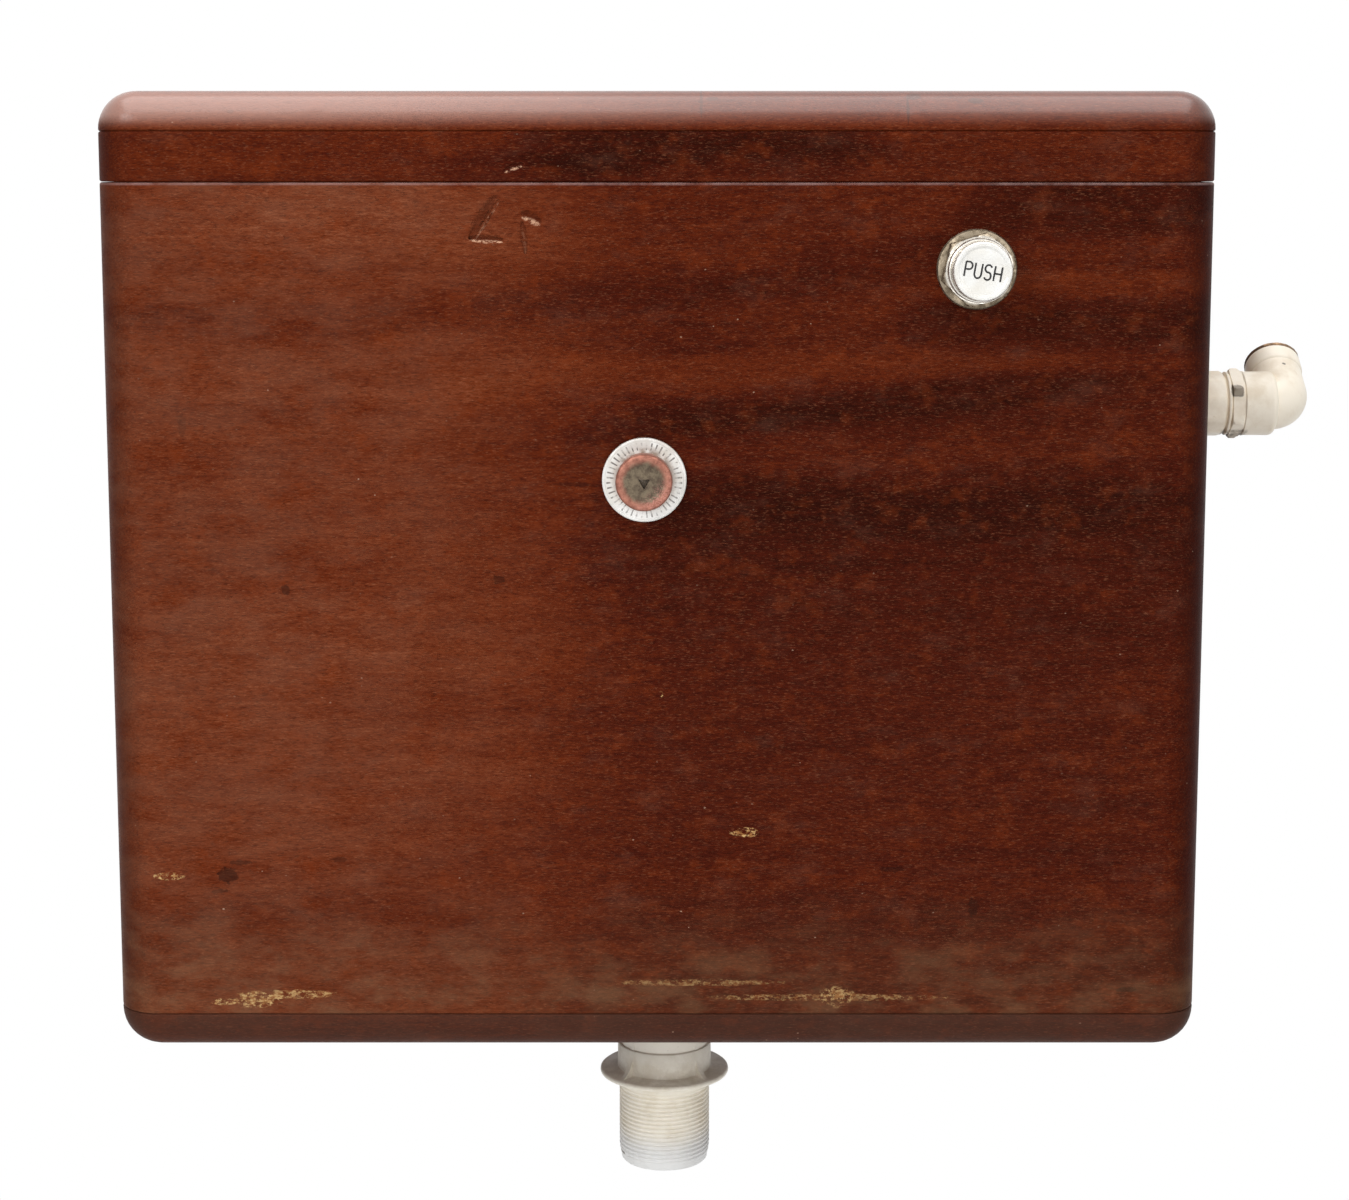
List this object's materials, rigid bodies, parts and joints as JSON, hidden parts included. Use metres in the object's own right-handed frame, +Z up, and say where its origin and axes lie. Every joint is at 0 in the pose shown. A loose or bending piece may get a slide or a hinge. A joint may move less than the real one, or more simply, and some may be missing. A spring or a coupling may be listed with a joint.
{
  "type": "wall-hung flushing cistern",
  "caption": "Wooden wall-hung cistern with lift-off lid, inner tank, piston siphon with threaded outlet tail, side-entry float valve with elbow, push button and lever spindle.",
  "frame": {"origin": "middle of the two wall screw holes, on the back face that lies against the wall", "axes": "+X to the right as one faces the cistern, +Y into the wall, +Z up"},
  "size_m": [0.6012, 0.2324, 0.56],
  "materials": {
    "mahogany": "waxed, open grained, worn",
    "deal": "bare softwood",
    "steel": "dull",
    "tank_plastic": "moulded",
    "tail_plastic": "aged cream moulding",
    "rubber": "matt black",
    "brass": "tarnished",
    "nickel": "worn nickel plate",
    "china": "glazed, crazed and stained",
    "boss_copper": "worn through to copper",
    "painted_fitting": "chipped cream paint",
    "nylon": "smooth",
    "float_plastic": "smooth"
  },
  "bodies": {
    "case": {"front_panel": "mahogany", "left_side_panel": "mahogany", "right_side_panel": "mahogany", "back_panel": "deal", "bottom_board": "mahogany", "bottom_screws": "steel", "back_screws": "steel", "glue_blocks": "deal", "inner_tank": "tank_plastic", "tank_floor_grommet": "rubber", "siphon_body": "tank_plastic", "siphon_socket": "tank_plastic", "outlet_tail": "tail_plastic", "tail_o_ring": "rubber", "shaft_brackets": "brass", "bracket_screws": "steel", "button_bush": "nickel", "button_backnut": "brass", "spindle_ring": "china", "spindle_bush": "brass", "spindle_backnut": "brass", "valve_body": "brass", "fulcrum_pin": "steel", "valve_seat": "nylon", "valve_end_cap": "brass", "valve_washers": "rubber", "valve_backnut": "brass", "valve_outer_collar": "painted_fitting", "elbow_union_nut": "painted_fitting", "inlet_elbow": "painted_fitting", "inlet_bush": "brass"},
    "lid": {"lid_top_board": "mahogany", "lid_front_rail": "mahogany", "lid_left_rail": "mahogany", "lid_right_rail": "mahogany", "lid_back_rail": "deal", "lid_locating_blocks": "deal"},
    "press_button": {"button_cup": "nickel", "button_china": "china", "button_tail_nut": "brass", "button_spring": "steel"},
    "rocker": {"rock_shaft": "brass", "shaft_collars": "brass", "button_lever": "brass", "lift_lever": "brass"},
    "lift_train": {"lift_link": "brass", "siphon_rod": "brass", "siphon_piston": "tank_plastic", "siphon_diaphragm": "tank_plastic"},
    "lever_spindle": {"spindle_boss": "boss_copper", "spindle_shaft": "brass", "spindle_crank": "brass"},
    "float_arm": {"float_lever": "brass", "float_ball": "float_plastic"},
    "valve_slide": {"valve_piston": "brass"}
  },
  "joints": [
    {"name": "lid_lift", "type": "slide", "parent": "case", "child": "lid", "axis": [0, 0, 1], "range_m": [0, 0.12]},
    {"name": "button_press", "type": "slide", "parent": "case", "child": "press_button", "axis": [0, 1, 0], "range_m": [0, 0.00914], "stiffness_N_per_m": 500, "springref_m": -0.008, "deforming": ["button_spring"]},
    {"name": "rocker_turn", "type": "hinge", "parent": "case", "child": "rocker", "pos_m": [0, -0.164, 0.062], "axis": [1, 0, 0], "range_deg": [0, 28.96]},
    {"name": "siphon_lift", "type": "slide", "parent": "case", "child": "lift_train", "axis": [0, 0, 1], "range_m": [0, 0.03002]},
    {"name": "spindle_turn", "type": "hinge", "parent": "case", "child": "lever_spindle", "pos_m": [-0.006, -0.205, -0.0556], "axis": [0, 1, 0], "range_deg": [0, 26.33]},
    {"name": "float_swing", "type": "hinge", "parent": "case", "child": "float_arm", "pos_m": [0.196, -0.105, -0.0425], "axis": [0, 1, 0], "range_deg": [0, 26]},
    {"name": "valve_travel", "type": "slide", "parent": "case", "child": "valve_slide", "axis": [1, 0, 0], "range_m": [0, 0.00631]}
  ],
  "couplings": [
    {"joint": "rocker_turn", "follows": "button_press", "rad_per_m": 55.29},
    {"joint": "siphon_lift", "follows": "button_press", "ratio": 3.2822},
    {"joint": "spindle_turn", "follows": "button_press", "rad_per_m": 50.254},
    {"joint": "valve_travel", "follows": "float_swing", "m_per_rad": 0.01388}
  ]
}
